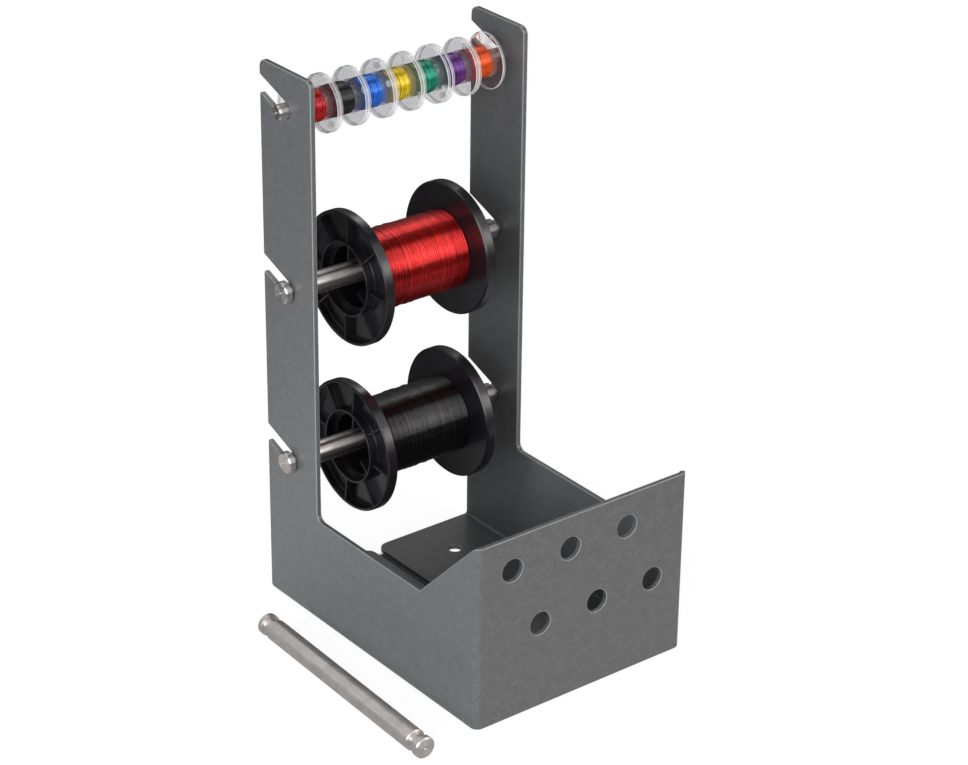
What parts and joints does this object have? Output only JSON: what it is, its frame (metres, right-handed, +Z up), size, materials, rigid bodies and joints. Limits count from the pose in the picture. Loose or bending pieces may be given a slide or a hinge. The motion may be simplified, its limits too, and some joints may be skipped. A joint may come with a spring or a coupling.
{
  "type": "cable unwinding stand",
  "caption": "Folded sheet-metal bench stand whose lift-out axles carry two wire spools and a row of clear wire bobbins, with staggered guide holes in its low front panel.",
  "frame": {"origin": "middle of the four bench screw holes, on the underside of the floor flanges", "axes": "+X to the right along the axles, +Y from the front panel to the back, +Z up"},
  "size_m": [0.1212, 0.133, 0.2075],
  "materials": {
    "powder_coat": "fine-textured powder coat, satin",
    "axle_steel": "turned, fine circular brushing",
    "spool_plastic": "moulded, semi-gloss",
    "bobbin_plastic": "clear moulded, polished",
    "black_wire": "enamelled copper wire, glossy over fine turns",
    "red_wire": "enamelled copper wire, glossy over fine turns",
    "dark_red_wire": "enamelled copper wire, glossy over fine turns",
    "charcoal_wire": "enamelled copper wire, glossy over fine turns",
    "blue_wire": "enamelled copper wire, glossy over fine turns",
    "yellow_wire": "enamelled copper wire, glossy over fine turns",
    "green_wire": "enamelled copper wire, glossy over fine turns",
    "purple_wire": "enamelled copper wire, glossy over fine turns",
    "orange_wire": "enamelled copper wire, glossy over fine turns"
  },
  "bodies": {
    "stand": {"folded_frame": "powder_coat"},
    "lower_axle": {"lower_axle": "axle_steel"},
    "upper_axle": {"upper_axle": "axle_steel"},
    "top_axle": {"top_axle": "axle_steel"},
    "spare_axle": {"spare_axle": "axle_steel"},
    "black_spool": {"black_spool": "spool_plastic", "black_wire_layers": "black_wire", "black_wire_turns": "black_wire"},
    "red_spool": {"red_spool": "spool_plastic", "red_wire_layers": "red_wire", "red_wire_turns": "red_wire"},
    "bobbin_1": {"bobbin_1": "bobbin_plastic", "bobbin_layers_1": "dark_red_wire", "bobbin_turns_1": "dark_red_wire"},
    "bobbin_2": {"bobbin_2": "bobbin_plastic", "bobbin_layers_2": "charcoal_wire", "bobbin_turns_2": "charcoal_wire"},
    "bobbin_3": {"bobbin_3": "bobbin_plastic", "bobbin_layers_3": "blue_wire", "bobbin_turns_3": "blue_wire"},
    "bobbin_4": {"bobbin_4": "bobbin_plastic", "bobbin_layers_4": "yellow_wire", "bobbin_turns_4": "yellow_wire"},
    "bobbin_5": {"bobbin_5": "bobbin_plastic", "bobbin_layers_5": "green_wire", "bobbin_turns_5": "green_wire"},
    "bobbin_6": {"bobbin_6": "bobbin_plastic", "bobbin_layers_6": "purple_wire", "bobbin_turns_6": "purple_wire"},
    "bobbin_7": {"bobbin_7": "bobbin_plastic", "bobbin_layers_7": "orange_wire", "bobbin_turns_7": "orange_wire"}
  },
  "joints": [
    {"name": "lower_axle_lift_out", "type": "slide", "parent": "stand", "child": "lower_axle", "axis": [0, 0.9367, 0.3502], "range_m": [0, 0.02]},
    {"name": "upper_axle_lift_out", "type": "slide", "parent": "stand", "child": "upper_axle", "axis": [0, 0.9367, 0.3502], "range_m": [0, 0.02]},
    {"name": "top_axle_lift_out", "type": "slide", "parent": "stand", "child": "top_axle", "axis": [0, 0.9367, 0.3502], "range_m": [0, 0.02]},
    {"name": "spare_axle_pick_up", "type": "slide", "parent": "stand", "child": "spare_axle", "axis": [0, 0, 1], "range_m": [0, 0.05]},
    {"name": "black_spool_spin", "type": "hinge", "parent": "lower_axle", "child": "black_spool", "pos_m": [0.0027, 0.04625, 0.0581], "axis": [1, 0, 0], "continuous": true},
    {"name": "red_spool_spin", "type": "hinge", "parent": "upper_axle", "child": "red_spool", "pos_m": [0.0019, 0.04625, 0.1246], "axis": [1, 0, 0], "continuous": true},
    {"name": "bobbin_1_spin", "type": "hinge", "parent": "top_axle", "child": "bobbin_1", "pos_m": [-0.0365, 0.04625, 0.1923], "axis": [1, 0, 0], "continuous": true},
    {"name": "bobbin_2_spin", "type": "hinge", "parent": "top_axle", "child": "bobbin_2", "pos_m": [-0.0248, 0.04625, 0.1923], "axis": [1, 0, 0], "continuous": true},
    {"name": "bobbin_3_spin", "type": "hinge", "parent": "top_axle", "child": "bobbin_3", "pos_m": [-0.0131, 0.04625, 0.1923], "axis": [1, 0, 0], "continuous": true},
    {"name": "bobbin_4_spin", "type": "hinge", "parent": "top_axle", "child": "bobbin_4", "pos_m": [-0.0014, 0.04625, 0.1923], "axis": [1, 0, 0], "continuous": true},
    {"name": "bobbin_5_spin", "type": "hinge", "parent": "top_axle", "child": "bobbin_5", "pos_m": [0.0103, 0.04625, 0.1923], "axis": [1, 0, 0], "continuous": true},
    {"name": "bobbin_6_spin", "type": "hinge", "parent": "top_axle", "child": "bobbin_6", "pos_m": [0.0226, 0.04625, 0.1923], "axis": [1, 0, 0], "continuous": true},
    {"name": "bobbin_7_spin", "type": "hinge", "parent": "top_axle", "child": "bobbin_7", "pos_m": [0.0343, 0.04625, 0.1923], "axis": [1, 0, 0], "continuous": true}
  ]
}
